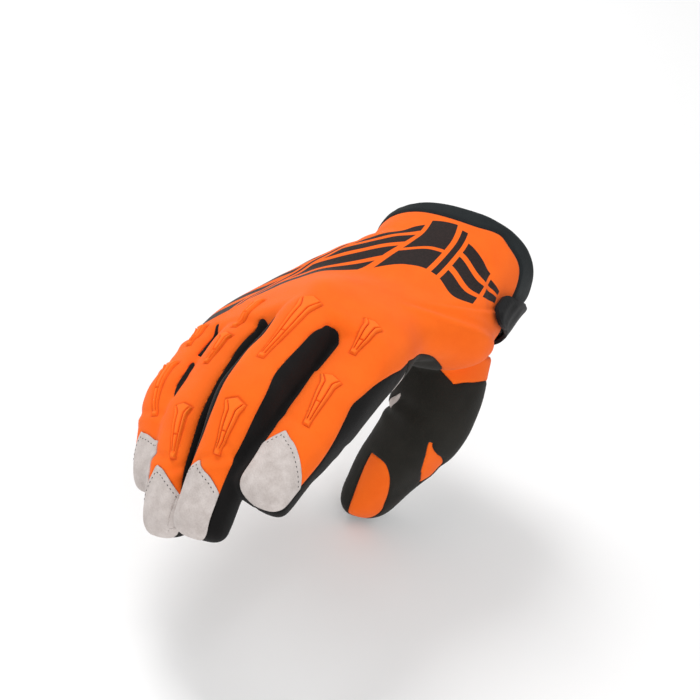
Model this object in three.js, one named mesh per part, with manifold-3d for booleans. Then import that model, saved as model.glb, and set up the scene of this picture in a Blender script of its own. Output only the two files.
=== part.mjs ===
// A motocross glove for the right hand, in the form that it takes when it is worn.
// Millimetres. The origin is the centre of the wrist opening, +X is the thumb side,
// -Y points to the fingertips and +Z is the back of the hand.
import * as THREE from 'three';
import { mergeVertices } from 'three/addons/utils/BufferGeometryUtils.js';
import Module from 'manifold-3d';

const wasm = await Module();
wasm.setup();

// Driving dimensions
const wall = 1.8; // cloth with its backing
const gap = 0.3; // between neighbouring pieces
const handLength = 115; // wrist opening to the knuckle row
const cuffWidth = 75;
const cuffHeight = 61;
const cuffRoll = 9; // degrees
const wristWidth = 77;
const wristHeight = 54;
const palmWidth = 102; // across the root of the thumb
const palmHeight = 45;
const knuckleWidth = 86;
const knuckleHeight = 32;
const knucklePadding = 0.5; // cloth over the knuckles, beyond the fingers' own skin
const knuckleBlend = 2.5; // how softly the cloth bridges from knuckle to knuckle
const knuckleOverhang = 4; // how far the hand reaches past the knuckle row
const knuckleRound = 10; // how far back the hand's end is rounded
const cuffBand = 10; // black edge on the back of the wrist
const knuckleArch = 78; // radius of the arch that the knuckles lie on
const fingerWidth = 26; // first finger, across its base
const fingerHeight = 26;
const indexLength = 94; // each from its knuckle to the end of the tip
const middleLength = 115;
const ringLength = 99;
const littleLength = 83;
const fingerInset = 22; // how far a finger's cloth reaches back inside the hand's
const fingerRound = { wide: 7, thick: 11 }; // how far back its tip is rounded, by width and by height
const thumbLength = 101; // from inside the heel of the hand
const thumbWidth = 38;
const thumbHeight = 34;
const thumbRound = { wide: 10, thick: 13 };
const thumbPlace = { x: 22.5, y: -34, z: -15 }; // its root inside the hand
const capLength = 32; // suede cap, from its peak to the tip
const strapWidth = 22;
const strapThickness = 1.8;
const strapSetback = 5; // from the wrist opening to the strap on the palm side
const strapRise = 21; // how much further it is at the thumb side
const reliefHeight = 1.1; // raised ribs over the knuckles

const orange = new THREE.MeshStandardMaterial({ color: 0xff6a24, roughness: 0.75, metalness: 0 });
const black = new THREE.MeshStandardMaterial({ color: 0x1e1e20, roughness: 0.8, metalness: 0 });
const suede = new THREE.MeshStandardMaterial({ color: 0xcdc3be, roughness: 0.95, metalness: 0 });

const degrees = THREE.MathUtils.degToRad;
const { clamp, lerp, smoothstep } = THREE.MathUtils;

// Sections of the hand from the wrist to the knuckles. along is a share of handLength; across, drop and
// turn go from the cuff's place and roll, 0, to the knuckle row's, 1.
const handSections = [
  { along: -0.06, width: cuffWidth, height: cuffHeight, across: 0, drop: 0, turn: 0 },
  { along: 0, width: cuffWidth, height: cuffHeight, across: 0, drop: 0, turn: 0 },
  { along: 0.24, width: wristWidth, height: wristHeight, across: 0, drop: -0.1, turn: -0.07 },
  { along: 0.54, width: palmWidth, height: palmHeight, across: 0.3, drop: 0.4, turn: 0.42 },
  { along: 0.82, width: knuckleWidth, height: knuckleHeight, across: 1, drop: 1, turn: 1 },
  { along: 1.1, width: 0.9 * knuckleWidth, height: 0.6 * knuckleHeight, across: 1, drop: 1.3, turn: 1 },
];
const cuffLean = { x: 0.2, z: 0 }; // how far the wrist opening is cut back, by width and by height

// One row for each finger. girth is a share of fingerWidth; apart is added between it and the last one;
// forward and lift place its knuckle off the arch; spread swings it to the thumb side; turn rolls it;
// bends are at its three joints, in degrees.
const fingers = [
  { name: 'index', length: indexLength, girth: 1.19, apart: 0, forward: 9, lift: 2.5, spread: -2, turn: -6, bends: [12, 0, 8], left: 0, right: 0 },
  { name: 'middle', length: middleLength, girth: 1.06, apart: 1, forward: 4, lift: 9.5, spread: -3, turn: 0, bends: [9, 37, 0], left: 0, right: 0 },
  { name: 'ring', length: ringLength, girth: 0.97, apart: 0, forward: -3, lift: -3.5, spread: -6, turn: 0, bends: [16, 20, 14], left: 12, right: 0 },
  { name: 'little', length: littleLength, girth: 0.87, apart: 0, forward: 2, lift: -1.5, spread: 0, turn: 7, bends: [4, 26, 10], left: 0, right: 16 },
];
const phalanges = [0.46, 0.27]; // shares of a finger's length from its knuckle to the next two joints
const archStart = 1; // where the first knuckle lies on the arch, in degrees
const archPlace = { x: 4, z: 11 }; // top of the arch from the wrist's centre

// Shares of a digit's width and height at places along it. at is a share of its length.
const fingerSections = [
  { at: -0.3, wide: 0.88, thick: 0.78 },
  { at: 0, wide: 1, thick: 1 },
  { at: 0.24, wide: 1, thick: 0.96 },
  { at: 0.46, wide: 1, thick: 0.95 },
  { at: 0.73, wide: 0.92, thick: 0.82 },
  { at: 1.1, wide: 0.86, thick: 0.72 },
];
const thumbSections = [
  { at: -0.1, wide: 1, thick: 0.9 },
  { at: 0.22, wide: 1.1, thick: 1.1 },
  { at: 0.4, wide: 1.04, thick: 1.05 },
  { at: 0.7, wide: 0.84, thick: 0.84 },
  { at: 1.1, wide: 0.56, thick: 0.52 },
];

// Value of one column at a place along a table, on a smooth curve through its rows.
function column(rows, key, name, at) {
  let i = rows.findIndex((row) => row[key] > at) - 1;
  if (i === -2) i = rows.length - 2;
  i = clamp(i, 0, rows.length - 2);
  const [a, b, c, d] = [i - 1, i, i + 1, i + 2].map((k) => rows[clamp(k, 0, rows.length - 1)]);
  const t = clamp((at - b[key]) / (c[key] - b[key]), 0, 1);
  const slopeIn = a === b ? 0 : ((c[name] - a[name]) / (c[key] - a[key])) * (c[key] - b[key]);
  const slopeOut = c === d ? 0 : ((d[name] - b[name]) / (d[key] - b[key])) * (c[key] - b[key]);
  const t2 = t * t;
  const t3 = t2 * t;
  return (2 * t3 - 3 * t2 + 1) * b[name] + (t3 - 2 * t2 + t) * slopeIn
    + (3 * t2 - 2 * t3) * c[name] + (t3 - t2) * slopeOut;
}

// Directions of a digit that leaves the hand along -Y with its back to +Z, swung, dipped and rolled.
function digitAxes(spread, dip, turn) {
  const turned = new THREE.Matrix4().makeRotationZ(degrees(spread));
  turned.multiply(new THREE.Matrix4().makeRotationX(degrees(dip)));
  turned.multiply(new THREE.Matrix4().makeRotationY(degrees(turn)));
  const side = new THREE.Vector3();
  const distal = new THREE.Vector3();
  const dorsal = new THREE.Vector3();
  turned.extractBasis(side, distal, dorsal);
  return { side, distal: distal.negate(), dorsal };
}

const frameStep = 1; // between the stored frames of a digit
const overrun = 8; // frames past a digit's tip, which cutters need

// A digit: its frames from behind its root to past its tip, its sections and its rounded end.
function makeDigit({ root, axes, start, length, bends, sections, width, height, bluntWide, bluntThick }) {
  const frames = [];
  const place = root.clone();
  const heading = (s) => {
    const angle = bends.reduce((sum, b) => sum + degrees(b.bend) * smoothstep(s, b.at - b.half, b.at + b.half), 0);
    const forward = axes.distal.clone().multiplyScalar(Math.cos(angle)).addScaledVector(axes.dorsal, -Math.sin(angle));
    const up = axes.distal.clone().multiplyScalar(Math.sin(angle)).addScaledVector(axes.dorsal, Math.cos(angle));
    return { forward, up };
  };
  place.addScaledVector(axes.distal, start);
  for (let s = start; s <= length + overrun; s += frameStep) {
    const { forward, up } = heading(s);
    frames.push({
      centre: place.clone(), side: axes.side, up,
      wide: (width / 2) * column(sections, 'at', 'wide', s / length),
      thick: (height / 2) * column(sections, 'at', 'thick', s / length),
    });
    place.addScaledVector(forward, frameStep);
  }
  return { frames, start, end: length, bluntWide, bluntThick, square: 2.5 };
}

function frameAt(tube, s) {
  const place = clamp((s - tube.start) / frameStep, 0, tube.frames.length - 1.001);
  const a = tube.frames[Math.floor(place)];
  const b = tube.frames[Math.floor(place) + 1];
  const t = place - Math.floor(place);
  return {
    centre: a.centre.clone().lerp(b.centre, t),
    side: a.side.clone().lerp(b.side, t),
    up: a.up.clone().lerp(b.up, t),
    wide: lerp(a.wide, b.wide, t),
    thick: lerp(a.thick, b.thick, t),
  };
}

// Half width left at a share of the way through a rounded end.
const roundOff = (t, power) => (1 - clamp(t, 0, 1) ** power) ** (1 / power);
const signedPower = (value, power) => Math.sign(value) * Math.abs(value) ** power;

// Point of a tube's skin: s along it, angle round it from its back (0) to its thumb side (90),
// grown outwards from the skin, and drawn in to a share of the way from the axis.
function skin(tube, s, angle, grow = 0, share = 1) {
  const { centre, side, up, wide, thick } = frameAt(tube, s);
  const endWide = share * roundOff((s - tube.end + tube.bluntWide) / (tube.bluntWide + grow), 3);
  const endThick = share * roundOff((s - tube.end + tube.bluntThick) / (tube.bluntThick + grow), 2);
  const oval = new THREE.Vector2(
    (wide + grow) * signedPower(Math.sin(degrees(angle)), 2 / tube.square),
    (thick + grow) * signedPower(Math.cos(degrees(angle)), 2 / tube.square),
  );
  if (tube.wrap) oval.lerp(tube.wrap(centre, side, up, angle, grow), smoothstep(s, tube.wrapFrom, tube.wrapTo));
  return centre.addScaledVector(side, oval.x * endWide).addScaledVector(up, oval.y * endThick);
}

// Closed solid through rings of points. Each end is a fan round the middle of its ring, a fan from the
// ring's last point, or a strip between the ring's two halves. Its faces point outwards.
function solidThrough(rings, ends = 'middle') {
  const count = rings[0].length;
  const points = rings.flat();
  const faces = [];
  for (let i = 0; i < count; i++) {
    const j = (i + 1) % count;
    for (let k = 0; k < rings.length - 1; k++) {
      const [a, b] = [k * count + i, k * count + j];
      faces.push([a, b, b + count], [a, b + count, a + count]);
    }
  }
  for (const [base, order] of [[0, [0, 2, 1]], [(rings.length - 1) * count, [0, 1, 2]]]) {
    const add = (...corners) => faces.push(order.map((k) => corners[k]));
    if (ends === 'strip') {
      for (let i = 0; i < count / 2 - 1; i++) {
        const opposite = base + count - 1 - i;
        add(base + i, base + i + 1, opposite - 1);
        add(base + i, opposite - 1, opposite);
      }
      continue;
    }
    const ring = points.slice(base, base + count);
    const hub = ends === 'last' ? base + count - 1 : points.length;
    if (ends === 'middle') points.push(ring.reduce((sum, p) => sum.add(p), new THREE.Vector3()).divideScalar(count));
    for (let i = 0; i < count; i++) add(hub, base + i, base + ((i + 1) % count));
  }
  return closedSolid(points, faces);
}

function closedSolid(points, faces) {
  const volume = faces.reduce((sum, [a, b, c]) => sum + points[a].dot(points[b].clone().cross(points[c])), 0);
  const outward = volume < 0 ? faces.map(([a, b, c]) => [a, c, b]) : faces;
  const geometry = new THREE.BufferGeometry().setFromPoints(points).setIndex(outward.flat());
  const merged = mergeVertices(geometry, 1e-4);
  const corners = Array.from(merged.index.array);
  const whole = (_, i) => {
    const [a, b, c] = corners.slice(i - (i % 3), i - (i % 3) + 3);
    return a !== b && b !== c && c !== a;
  };
  return new wasm.Manifold(new wasm.Mesh({
    numProp: 3,
    vertProperties: new Float32Array(merged.attributes.position.array),
    triVerts: new Uint32Array(corners.filter(whole)),
  }));
}

const join = (solids) => solids.reduce((sum, solid) => sum.add(solid));

// Places and angles at which every solid round a tube has its corners, so that their facets line up.
const roundShares = [0.55, 0.93]; // places through a rounded end
const tipPlace = (tube, grow) => tube.end - tube.bluntThick + roundShares.at(-1) * (tube.bluntThick + grow);
function stations(tube, grow) {
  const bend = tube.end - tube.bluntThick;
  const count = Math.round((bend - tube.start) / tube.step);
  const even = Array.from({ length: count + 1 }, (_, i) => lerp(tube.start, bend, i / count));
  return [...even, ...roundShares.map((t) => bend + t * (tube.bluntThick + grow))];
}
const facetAngles = (tube) => Array.from({ length: tube.sides }, (_, i) => (360 * i) / tube.sides - 180);

// A whole tube, inside or outside its skin.
function wholeTube(tube, from, grow) {
  const places = [from, ...stations(tube, grow).filter((s) => s > from + 0.3 * tube.step)];
  return solidThrough(places.map((s) => facetAngles(tube).map((a) => skin(tube, s, a, grow))));
}

// Rows of places and angles over part of a tube. Its two side edges, from and to, are angles that may
// depend on the place, and its two ends are places that may depend on the angle. Between them its corners
// are those of the whole tube, or else lie at the given places.
const valueAt = (value, at) => (typeof value === 'function' ? value(at) : value);
function netOver(tube, { from, to, start, end, grow = 0, places = stations(tube, reach) }) {
  const whole = from === -180 && to === 180;
  const margin = THREE.MathUtils.radToDeg(grow / tube.frames[0].wide);
  const lastPlace = tipPlace(tube, reach + Math.abs(grow));
  const edges = (s) => (whole ? [-180, 180] : [valueAt(from, s) - margin, valueAt(to, s) + margin]);
  const placeAt = (s, angle) => clamp(s, valueAt(start, angle) - grow, Math.min(valueAt(end, angle) + grow, lastPlace));
  const [firstEdge, lastEdge] = edges(placeAt(tube.end / 2, 0));
  const turns = [...facetAngles(tube), ...facetAngles(tube).map((angle) => angle + 360)];
  const inner = turns.filter((angle) => angle > firstEdge - 40 && angle < lastEdge + 40);
  const angles = whole ? facetAngles(tube) : [-Infinity, ...inner, Infinity];
  return [-Infinity, ...places, Infinity].map((station) => {
    const middle = placeAt(station, (firstEdge + lastEdge) / 2);
    const [low, high] = edges(middle);
    const row = angles.map((angle) => {
      let turn = clamp(angle, firstEdge, lastEdge);
      for (let pass = 0; pass < 3 && !whole; pass++) turn = clamp(angle, ...edges(placeAt(station, turn)));
      return { place: placeAt(station, turn), angle: turn };
    });
    return { row, whole, middle, low, high };
  });
}

// Wedge of a tube from its axis to past its skin. Its sides stand back from the axis by grow, so that it
// can clear a neighbour.
const reach = 1.2;
function wedge(tube, { grow = 0, ...edges }) {
  const net = netOver(tube, { grow, ...edges });
  const rings = net.map(({ row, whole, middle, low, high }) => {
    const ring = row.map(({ place, angle }) => skin(tube, place, angle, reach + Math.abs(grow)));
    if (whole) return ring;
    const apex = frameAt(tube, middle);
    const back = grow / Math.sin(Math.min(degrees((high - low) / 2), Math.PI / 2));
    apex.centre.addScaledVector(apex.side, -back * Math.sin(degrees((low + high) / 2)));
    apex.centre.addScaledVector(apex.up, -back * Math.cos(degrees((low + high) / 2)));
    return [...ring, apex.centre];
  });
  return solidThrough(rings, net[0].whole ? 'middle' : 'last');
}

// Layer over part of a tube, between two heights above its skin.
function layer(tube, below, above, edges) {
  return solidThrough(netOver(tube, edges).map(({ row }) => [
    ...row.map(({ place, angle }) => skin(tube, place, angle, above)),
    ...row.toReversed().map(({ place, angle }) => skin(tube, place, angle, below)),
  ]), 'strip');
}

// Fingers, side by side on the arch
const archAngles = [];
fingers.forEach((row, i) => {
  const before = fingers[i - 1];
  const pitch = before ? (fingerWidth * (row.girth + before.girth)) / 2 + gap + row.apart : 0;
  archAngles.push(before ? archAngles[i - 1] - THREE.MathUtils.radToDeg(pitch / knuckleArch) : archStart);
});
const fingerTubes = fingers.map((row, i) => {
  const arch = archAngles[i];
  const root = new THREE.Vector3(
    archPlace.x + knuckleArch * Math.sin(degrees(arch)),
    row.forward - handLength,
    archPlace.z + knuckleArch * (Math.cos(degrees(arch)) - 1) + row.lift,
  );
  const joints = [0, phalanges[0], phalanges[0] + phalanges[1]];
  return {
    ...makeDigit({
      root,
      axes: digitAxes(row.spread, 0, arch + row.turn),
      start: -fingerInset,
      length: row.length,
      bends: joints.map((share, k) => ({ at: share * row.length, half: [10, 9, 7][k], bend: row.bends[k] })),
      sections: fingerSections,
      width: fingerWidth * row.girth,
      height: fingerHeight * row.girth,
      bluntWide: fingerRound.wide,
      bluntThick: fingerRound.thick,
    }),
    name: row.name, girth: row.girth, left: row.left, right: row.right, root, sides: 10, step: 20,
  };
});

// The hand between the wrist and the knuckles
const knuckles = fingerTubes.map((tube) => tube.root);
const rowMiddle = knuckles[0].clone().lerp(knuckles[3], 0.5);
const rowRoll = THREE.MathUtils.radToDeg(Math.atan2(knuckles[0].z - knuckles[3].z, knuckles[0].x - knuckles[3].x));
const rowHeight = knuckles.reduce((sum, k) => sum + k.z, 0) / 4 - 2;
const handFrames = [];
for (let s = -0.06 * handLength; s <= handLength + overrun; s += frameStep) {
  const section = (name) => column(handSections, 'along', name, s / handLength);
  const roll = degrees(lerp(cuffRoll, rowRoll, section('turn')));
  const lean = clamp(1 - s / handLength / 0.35, 0, 1);
  handFrames.push({
    centre: new THREE.Vector3(rowMiddle.x * section('across'), -s, rowHeight * section('drop')),
    side: new THREE.Vector3(Math.cos(roll), cuffLean.x * lean, Math.sin(roll)),
    up: new THREE.Vector3(-Math.sin(roll), cuffLean.z * lean, Math.cos(roll)),
    wide: section('width') / 2,
    thick: section('height') / 2,
  });
}

// Outline that wraps all four knuckles, as seen from the hand's axis: each knuckle counts the more,
// the further it reaches in the direction of the angle.
function wrapKnuckles(centre, side, up, angle, grow) {
  const facing = new THREE.Vector2(Math.sin(degrees(angle)), Math.cos(degrees(angle)));
  const sum = new THREE.Vector2();
  let weights = 0;
  for (const tube of fingerTubes) {
    const from = tube.root.clone().sub(centre);
    const radius = (fingerWidth * tube.girth) / 2 + knucklePadding + grow;
    const place = new THREE.Vector2(from.dot(side), from.dot(up)).addScaledVector(facing, radius);
    const weight = Math.exp(place.dot(facing) / knuckleBlend);
    sum.addScaledVector(place, weight);
    weights += weight;
  }
  return sum.divideScalar(weights);
}
const hand = {
  frames: handFrames, start: -0.06 * handLength, end: handLength + knuckleOverhang, bluntWide: knuckleRound, bluntThick: knuckleRound,
  wrap: wrapKnuckles, wrapFrom: 0.5 * handLength, wrapTo: 0.86 * handLength, square: 2.3, sides: 20, step: 24,
};

// The thumb, which leaves the hand below its thumb side
const thumb = {
  ...makeDigit({
    root: new THREE.Vector3(thumbPlace.x, thumbPlace.y, thumbPlace.z),
    axes: digitAxes(22, 54, 38),
    start: 0,
    length: thumbLength,
    bends: [{ at: 0.4 * thumbLength, half: 10, bend: 30 }, { at: 0.7 * thumbLength, half: 9, bend: -6 }],
    sections: thumbSections,
    width: thumbWidth,
    height: thumbHeight,
    bluntWide: thumbRound.wide,
    bluntThick: thumbRound.thick,
  }),
  name: 'thumb', sides: 10, step: 18,
};

const tubes = [hand, ...fingerTubes, thumb];
const outside = join(tubes.map((tube) => wholeTube(tube, tube === hand ? 0 : tube.start + wall, 0)));
const inside = join(tubes.map((tube) => wholeTube(tube, tube === hand ? tube.start : tube.start + 2 * wall, -wall)));
const shell = outside.subtract(inside);

// Edges of a finger's back, as angles round the finger. at is a share of its length.
const fingerEdges = [
  { at: -0.3, left: 74, right: 80 },
  { at: 0, left: 70, right: 76 },
  { at: 0.14, left: 46, right: 42 },
  { at: 0.3, left: 48, right: 38 },
  { at: 0.46, left: 48, right: 54 },
  { at: 0.7, left: 46, right: 52 },
  { at: 1.1, left: 46, right: 52 },
];
const palmEdge = 128; // where a finger's side strip ends and its underside begins
const webSlope = 0.42; // how fast a side strip's end moves towards the fingertip, mm for each degree past 60
const tipSeam = 7; // the side strips meet round the tip, this far from its end
const capPeak = { angle: -24, slope: 0.17 }; // the cap's point, and how fast it falls away, mm for each degree

// Edges of the hand's back, as angles round the hand. at is a share of handLength.
const handEdges = [
  { at: -0.1, left: 100, right: 100 },
  { at: 0.2, left: 100, right: 115 },
  { at: 0.45, left: 100, right: 150 },
  { at: 0.7, left: 98, right: 148 },
  { at: 0.85, left: 98, right: 112 },
  { at: 0.96, left: 80, right: 84 },
  { at: 1.1, left: 50, right: 40 },
];
const thumbPalmEdge = 138; // where the thumb's underside begins

// Edge of the thumb's black piece on the hand. angle is round the thumb; place is a share of its length.
const thumbEdges = [
  { angle: -180, place: 0.3 },
  { angle: -110, place: 0.2 },
  { angle: -60, place: 0.08 },
  { angle: -10, place: 0.14 },
  { angle: 50, place: 0.15 },
  { angle: 120, place: 0.2 },
  { angle: 180, place: 0.3 },
];

// Upper edge of the orange patch on the tip of the thumb
const tipPatchEdges = [
  { angle: -95, place: 0.68 },
  { angle: -76, place: 0.63 },
  { angle: -34, place: 0.68 },
  { angle: 0, place: 0.84 },
];

// Black edge round the wrist opening. angle is round the hand; band is a share of cuffBand.
const cuffEdges = [
  { angle: -180, band: 1.2 },
  { angle: -90, band: 0.9 },
  { angle: -10, band: 1 },
  { angle: 50, band: 0.5 },
  { angle: 72, band: 1 },
  { angle: 90, band: 2.9 },
  { angle: 120, band: 2.4 },
  { angle: 180, band: 1.2 },
];

// Slots between the fingers' backs: round-ended strips on the line between two knuckles. setback is from
// the knuckle nearer the wrist, towards the wrist, and shift is towards the thumb.
const slots = [
  { name: 'gusset_index_middle', between: 0, width: 10, setback: -9, shift: -1.5, length: 15 },
  { name: 'gusset_middle_ring', between: 1, width: 7.5, setback: -3, shift: -3, length: 26 },
  { name: 'gusset_ring_little', between: 2, width: 2.5, setback: 2, shift: -2, length: 24 },
];
function slotCutter({ between, width, setback, shift, length }, grow) {
  const [a, b] = [fingerTubes[between], fingerTubes[between + 1]];
  const across = a.root.clone().sub(b.root).setY(0).normalize();
  const along = new THREE.Vector3(0, -1, 0);
  const normal = along.clone().cross(across).normalize();
  const radius = width / 2 - grow;
  const base = a.root.clone().lerp(b.root, 0.5).addScaledVector(across, shift);
  base.y = Math.max(a.root.y, b.root.y) + setback;
  const round = [0, 1, 2, 3, 4, 5, 6].map((k) => (Math.PI * k) / 6);
  const outline = [
    ...round.map((t) => [radius * Math.cos(t), radius * (1 - Math.sin(t)) + grow]),
    [-radius, length - grow], [radius, length - grow],
  ];
  const at = (depth) => outline.map(([x, y]) => base.clone().addScaledVector(across, x).addScaledVector(along, y)
    .addScaledVector(normal, depth));
  return solidThrough([at(grow), at(fingerWidth)]);
}

// Each region of the shell is a function of how far it is grown, so that the next piece keeps its gap.
const wrapAngle = (angle) => ((angle + 540) % 360) - 180;
const edgeOf = (tube, side) => (s) => column(fingerEdges, 'at', side, s / tube.end) + tube[side];
const leftEdge = (tube, over = 0) => (s) => -edgeOf(tube, 'left')(s) + over;
const rightEdge = (tube, over = 0) => (s) => edgeOf(tube, 'right')(s) - over;
const capRegion = (tube) => (grow) => wedge(tube, {
  from: leftEdge(tube), to: rightEdge(tube), end: tube.end + reach, grow,
  start: (angle) => tube.end - capLength + capPeak.slope * Math.abs(angle - capPeak.angle),
});
const fingerBack = (tube) => (grow) => wedge(tube, {
  from: leftEdge(tube), to: rightEdge(tube), start: wall - fingerInset, end: tube.end - capLength / 2, grow,
});
const fingerUnder = (tube) => (grow) => wedge(tube, {
  from: palmEdge, to: 360 - palmEdge, start: -fingerInset, end: tube.end - tipSeam, grow,
});
const handEdgeOf = (side) => (s) => column(handEdges, 'at', side, s / handLength);
const handBack = (grow) => wedge(hand, {
  from: (s) => -handEdgeOf('left')(s), to: handEdgeOf('right'), start: -reach, end: hand.end - wall, grow,
});
const cuffRegion = (grow) => wedge(hand, {
  from: -180, to: 180, start: -3, end: (angle) => cuffBand * column(cuffEdges, 'angle', 'band', wrapAngle(angle)), grow,
});
const thumbEdge = (angle) => thumbLength * column(thumbEdges, 'angle', 'place', wrapAngle(angle));
const thumbRegion = (grow) => wedge(thumb, {
  from: -180, to: 180, start: thumbEdge, end: thumb.end + reach, grow,
});
const thumbTipPatch = (grow) => wedge(thumb, {
  from: -92, to: -6, start: (angle) => thumbLength * column(tipPatchEdges, 'angle', 'place', angle),
  end: 0.93 * thumbLength, grow,
});
const thumbKnucklePatch = (grow) => wedge(thumb, {
  from: (s) => lerp(-24, 8, smoothstep(s, 0.42 * thumbLength, 0.6 * thumbLength)),
  to: (s) => lerp(62, 34, smoothstep(s, 0.42 * thumbLength, 0.6 * thumbLength)),
  start: 0.42 * thumbLength, end: 0.6 * thumbLength, grow,
});
const thumbUnder = (grow) => wedge(thumb, {
  from: thumbPalmEdge, to: 360 - thumbPalmEdge, start: 2 * wall, end: thumb.end - tipSeam, grow,
});
const thumbRoot = (grow) => wedge(thumb, {
  from: -thumbPalmEdge, to: thumbPalmEdge, start: 2 * wall, end: 0.5 * thumbLength, grow,
});
const backRegion = (grow) => slots.reduce(
  (solid, slot) => solid.subtract(slotCutter(slot, grow)),
  join([handBack(grow), thumbRoot(grow), ...fingerTubes.map((tube) => fingerBack(tube)(grow))]),
);
const sideRegion = (tube, side) => (grow) => wedge(tube, {
  from: side === 'left' ? -180 : rightEdge(tube, 2), to: side === 'left' ? leftEdge(tube, 2) : 180,
  start: (angle) => 2 * wall - fingerInset + webSlope * Math.max(0, Math.abs(wrapAngle(angle)) - 60), end: tube.end + reach, grow,
}).subtract(fingerUnder(tube)(-grow));
const gussetRegion = (slot) => (grow) => join([
  sideRegion(fingerTubes[slot.between], 'left')(grow),
  sideRegion(fingerTubes[slot.between + 1], 'right')(grow),
  slotCutter(slot, -grow),
]);

// The whole outside, grown by a height
const grownOutside = (height) => join(tubes.map(
  (tube) => wholeTube(tube, tube === hand ? 0 : tube.start + wall - height, height),
));

// Raised ribs over the knuckles: on each one, two long wedges side by side that taper towards the
// fingertip. from and to are places along the finger, and half is half of the rib's width at its wide end.
// A rib over the hand follows the hand's outside, and the others follow the finger's skin.
const reliefs = [
  { digit: 0, from: -8, to: 12, half: 5, overHand: true },
  { digit: 0, from: 30, to: 56, half: 5 },
  { digit: 1, from: -4, to: 34, half: 5 },
  { digit: 1, from: 58, to: 78, half: 4.5 },
  { digit: 2, from: -16, to: 20, half: 4.5, overHand: true },
  { digit: 2, from: 45, to: 65, half: 4 },
  { digit: 3, from: -6, to: 12, half: 4, overHand: true },
  { digit: 3, from: 26, to: 47, half: 4 },
];
const reliefGroove = 0.5; // half of the groove between a rib's two wedges
function ribSides({ digit, from, to, half, overHand }) {
  const tube = fingerTubes[digit];
  const turn = (distance) => THREE.MathUtils.radToDeg(distance / tube.frames[0].wide);
  const share = (s) => clamp((s - from) / (to - from), 0, 1);
  const edge = (s) => turn(lerp(half, 0.35 * half, Math.sqrt(share(s))) - 0.2 * half * share(s));
  const places = [lerp(from, to, 0.3)];
  const top = overHand ? 4 * wall : reliefHeight;
  return [
    layer(tube, -wall / 2, top, { from: turn(reliefGroove), to: edge, start: from, end: to, places }),
    layer(tube, -wall / 2, top, { from: (s) => -edge(s), to: -turn(reliefGroove), start: from, end: to, places }),
  ];
}
const relief = join([
  join(reliefs.filter((row) => row.overHand).flatMap(ribSides)).intersect(grownOutside(reliefHeight)),
  ...reliefs.filter((row) => !row.overHand).flatMap(ribSides),
]).subtract(inside);

// Closing strap, from the little side of the palm round to a rounded tab on the thumb side
const strapTab = { angle: 62, round: 16, level: 112 }; // where its end lies, how far its corners are drawn back, and where its rise ends
const strapEnd = 222;
const strapStart = (angle) => strapSetback + strapRise * (1 - smoothstep(angle, strapTab.angle, strapTab.level));
const strap = layer(hand, -wall, 9 * wall, {
  from: (s) => strapTab.angle + strapTab.round * (2 * clamp((s - strapStart(70)) / strapWidth, 0, 1) - 1) ** 4,
  to: strapEnd, start: strapStart, end: (angle) => strapStart(angle) + strapWidth,
  places: [0.15, 0.5, 0.85].map((t) => strapStart(70) + t * strapWidth),
}).intersect(grownOutside(gap + strapThickness)).subtract(grownOutside(gap));

// Corners of a solid's largest body, three to a triangle. Cutting leaves crumbs, and this drops them.
function mainBody(corners) {
  const parent = new Map();
  const rootOf = (corner) => {
    let root = corner;
    while ((parent.get(root) ?? root) !== root) root = parent.get(root);
    parent.set(corner, root);
    return root;
  };
  for (let i = 0; i < corners.length; i += 3) {
    parent.set(rootOf(corners[i + 1]), rootOf(corners[i]));
    parent.set(rootOf(corners[i + 2]), rootOf(corners[i]));
  }
  const counts = new Map();
  corners.forEach((corner) => counts.set(rootOf(corner), (counts.get(rootOf(corner)) ?? 0) + 1));
  const largest = Math.max(...counts.values());
  return corners.filter((corner) => counts.get(rootOf(corner)) === largest);
}

const glove = new THREE.Group();
function addPiece(name, solid, material) {
  const { vertProperties, triVerts } = solid.getMesh();
  const geometry = new THREE.BufferGeometry();
  geometry.setAttribute('position', new THREE.BufferAttribute(new Float32Array(vertProperties), 3));
  geometry.setIndex(mainBody(Array.from(triVerts)));
  geometry.computeVertexNormals();
  const mesh = new THREE.Mesh(geometry, material);
  mesh.name = name;
  glove.add(mesh);
}

// The pieces in the order in which they claim the shell, each clear of those before it. The palm has
// all that is left.
const claims = [
  { name: 'cuff_band', material: black, region: cuffRegion },
  ...fingerTubes.map((tube) => ({ name: `fingertip_cap_${tube.name}`, material: suede, region: capRegion(tube) })),
  { name: 'thumb_tip_patch', material: orange, region: thumbTipPatch },
  { name: 'thumb_knuckle_patch', material: orange, region: thumbKnucklePatch },
  { name: 'thumb_shell', material: black, region: (grow) => thumbRegion(grow).subtract(thumbUnder(-grow)) },
  { name: 'back_panel', material: orange, region: backRegion, raised: relief },
  { name: 'side_strip_index', material: black, region: sideRegion(fingerTubes[0], 'right') },
  { name: 'side_strip_little', material: black, region: sideRegion(fingerTubes[3], 'left') },
  ...slots.map((slot) => ({ name: slot.name, material: black, region: gussetRegion(slot) })),
];
let rest = shell;
for (const { name, material, region, raised } of claims) {
  const piece = rest.intersect(region(0));
  addPiece(name, raised ? piece.add(raised) : piece, material);
  rest = rest.subtract(join([region(gap), piece]));
}
addPiece('palm_panel', rest, suede);
addPiece('wrist_strap', strap, black);

export default glove;
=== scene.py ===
import math
import bmesh
import bpy
import numpy as np
from mathutils import Matrix, Vector
from mathutils.bvhtree import BVHTree
from mathutils.kdtree import KDTree


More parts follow.
